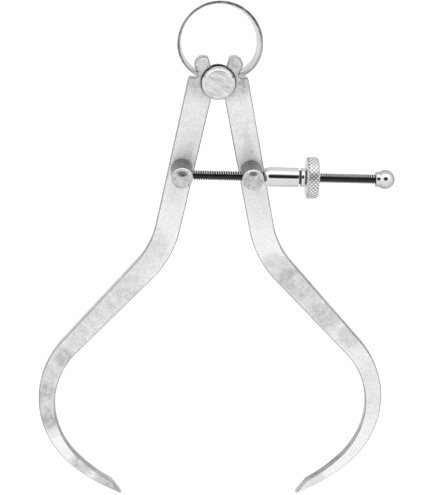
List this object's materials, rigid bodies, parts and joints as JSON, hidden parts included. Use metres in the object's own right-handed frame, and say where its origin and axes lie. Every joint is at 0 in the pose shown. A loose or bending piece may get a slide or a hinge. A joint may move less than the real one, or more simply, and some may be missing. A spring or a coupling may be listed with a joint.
{
  "type": "outside caliper",
  "caption": "Spring-type outside caliper with two bowed flat legs, a C-shaped bow spring, a fulcrum roller and a knurled nut on a fine adjusting screw.",
  "frame": {"origin": "centre of the fulcrum roller's back face", "axes": "+Y from the tips towards the bow spring, +Z out of the front faces of the legs, +X towards the nut"},
  "size_m": [0.118, 0.1755, 0.0229],
  "materials": {
    "leg_steel": "satin, lightly mottled",
    "spring_steel": "satin",
    "turned_steel": "fine turned",
    "polished_steel": "polished",
    "knurled_steel": "diamond knurl",
    "black_steel": "black oxide"
  },
  "bodies": {
    "fulcrum": {"fulcrum_roller": "turned_steel", "bow_spring": "spring_steel"},
    "left_leg": {"left_leg": "leg_steel"},
    "right_leg": {"right_leg": "leg_steel"},
    "left_post": {"left_post": "turned_steel", "left_post_washer": "turned_steel", "adjusting_screw": "black_steel", "ball_end": "polished_steel"},
    "right_post": {"right_post": "turned_steel", "right_post_washer": "turned_steel"},
    "nut": {"nut_sleeve": "polished_steel", "nut_wheel": "knurled_steel"}
  },
  "joints": [
    {"name": "left_leg_opening", "type": "hinge", "parent": "fulcrum", "child": "left_leg", "pos_m": [0, 0, 0], "axis": [0, 0, -1], "range_deg": [-11.5, 17.5], "deforming": ["bow_spring"]},
    {"name": "right_leg_opening", "type": "hinge", "parent": "fulcrum", "child": "right_leg", "pos_m": [0, 0, 0], "axis": [0, 0, 1], "range_deg": [-11.5, 17.5]},
    {"name": "left_post_swivel", "type": "hinge", "parent": "left_leg", "child": "left_post", "pos_m": [-0.01134, -0.02902, 0.0029], "axis": [0, 0, 1], "range_deg": [-11.9, 18.1]},
    {"name": "right_post_swivel", "type": "hinge", "parent": "right_leg", "child": "right_post", "pos_m": [0.01141, -0.02937, 0.0029], "axis": [0, 0, -1], "range_deg": [-11.2, 17]},
    {"name": "nut_turn", "type": "hinge", "parent": "right_post", "child": "nut", "pos_m": [0.02005, -0.0295, 0.0108], "axis": [-0.9999, 0.0151, 0], "continuous": true}
  ],
  "couplings": [
    {"joint": "right_leg_opening", "follows": "left_leg_opening", "ratio": 1},
    {"joint": "left_post_swivel", "follows": "left_leg_opening", "ratio": 1.033},
    {"joint": "right_post_swivel", "follows": "left_leg_opening", "ratio": 0.967}
  ]
}
